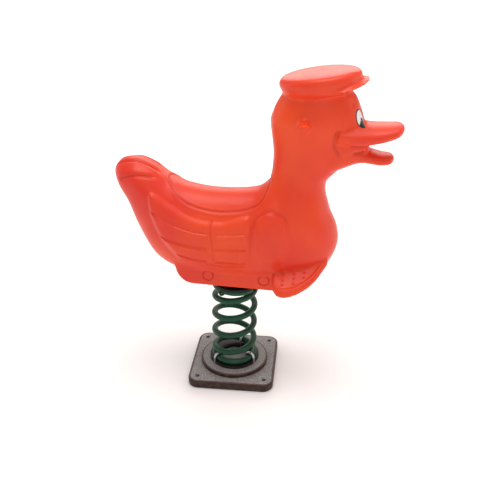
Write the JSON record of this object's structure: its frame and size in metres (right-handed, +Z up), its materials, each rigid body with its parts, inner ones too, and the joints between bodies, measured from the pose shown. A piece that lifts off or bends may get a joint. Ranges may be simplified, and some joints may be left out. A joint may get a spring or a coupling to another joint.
{
  "type": "duck spring rider",
  "caption": "Playground spring rider: a hollow moulded duck with saddle, footrests and hand grips on a coil spring clamped to a square cast base plate.",
  "frame": {"origin": "on the ground, on the spring's axis, at the centre of the base plate's underside", "axes": "+Z up, +X the way the duck faces, +Y its left side"},
  "size_m": [0.8403, 0.3044, 1.0182],
  "materials": {
    "shell": "orange-red polyethylene, satin from the mould",
    "spring_coat": "dark green powder coat",
    "casting": "hammered grey paint, worn brown along the edges",
    "black_steel": "black paint",
    "zinc": "bright zinc plate",
    "eye": "printed eye plate, white with a black pupil"
  },
  "bodies": {
    "base": {"base_plate": "casting", "spring_disc": "casting", "seat_ring": "black_steel", "base_u_bolt_1": "zinc", "base_u_bolt_2": "zinc", "base_u_bolt_3": "zinc", "base_nut_1": "zinc", "base_nut_2": "zinc", "base_nut_3": "zinc", "base_nut_4": "zinc", "base_nut_5": "zinc", "base_nut_6": "zinc", "spring_foot_coil": "spring_coat"},
    "turn_1": {"spring_turn_1": "spring_coat"},
    "turn_2": {"spring_turn_2": "spring_coat"},
    "turn_3": {"spring_turn_3": "spring_coat"},
    "turn_4": {"spring_turn_4": "spring_coat"},
    "turn_5": {"spring_turn_5": "spring_coat"},
    "rider": {"spring_head_coil": "spring_coat", "spring_top_plate": "black_steel", "top_hook_bolt_1": "black_steel", "top_hook_bolt_2": "black_steel", "top_hook_bolt_3": "black_steel", "top_nut_1": "zinc", "top_nut_2": "zinc", "top_nut_3": "zinc", "carrier_channel": "black_steel", "hub_screw_1": "zinc", "hub_screw_2": "zinc", "hub_screw_3": "zinc", "keel_bolt_rear": "zinc", "keel_bolt_front": "zinc", "keel_nut_rear": "zinc", "keel_nut_front": "zinc", "keel_plug_rear_right": "shell", "keel_plug_rear_left": "shell", "keel_plug_front_right": "shell", "keel_plug_front_left": "shell", "duck_shell": "shell", "handle_bar": "zinc", "grip_left": "shell", "grip_right": "shell", "eye_left": "eye", "eye_right": "eye"}
  },
  "joints": [
    {"name": "pitch_low", "type": "hinge", "parent": "base", "child": "turn_1", "pos_m": [0, 0, 0.079], "axis": [0, 1, 0], "range_deg": [-10, 10], "stiffness_Nm_per_rad": 1720, "deforming": ["spring_turn_1", "spring_turn_2", "spring_turn_3", "spring_turn_4", "spring_turn_5"]},
    {"name": "roll_low", "type": "hinge", "parent": "turn_1", "child": "turn_2", "pos_m": [0, 0, 0.122], "axis": [1, 0, 0], "range_deg": [-7.5, 7.5], "stiffness_Nm_per_rad": 1720, "deforming": ["spring_turn_1", "spring_turn_2", "spring_turn_3", "spring_turn_4", "spring_turn_5"]},
    {"name": "bounce", "type": "slide", "parent": "turn_2", "child": "turn_3", "axis": [0, 0, 1], "range_m": [-0.012, 0.006], "stiffness_N_per_m": 180000, "deforming": ["spring_turn_1", "spring_turn_2", "spring_turn_3", "spring_turn_4", "spring_turn_5"]},
    {"name": "twist", "type": "hinge", "parent": "turn_3", "child": "turn_4", "pos_m": [0.0025, 0, 0.22], "axis": [0, 0, 1], "range_deg": [-10, 10], "stiffness_Nm_per_rad": 990, "deforming": ["spring_turn_1", "spring_turn_2", "spring_turn_3", "spring_turn_4", "spring_turn_5"]},
    {"name": "pitch_high", "type": "hinge", "parent": "turn_4", "child": "turn_5", "pos_m": [0.0035, 0, 0.27], "axis": [0, 1, 0], "range_deg": [-10, 10], "deforming": ["spring_turn_1", "spring_turn_2", "spring_turn_3", "spring_turn_4", "spring_turn_5"]},
    {"name": "roll_high", "type": "hinge", "parent": "turn_5", "child": "rider", "pos_m": [0.005, 0, 0.311], "axis": [1, 0, 0], "range_deg": [-7.5, 7.5], "deforming": ["spring_turn_1", "spring_turn_2", "spring_turn_3", "spring_turn_4", "spring_turn_5"]}
  ],
  "couplings": [
    {"joint": "pitch_high", "follows": "pitch_low", "ratio": 1},
    {"joint": "roll_high", "follows": "roll_low", "ratio": 1}
  ]
}
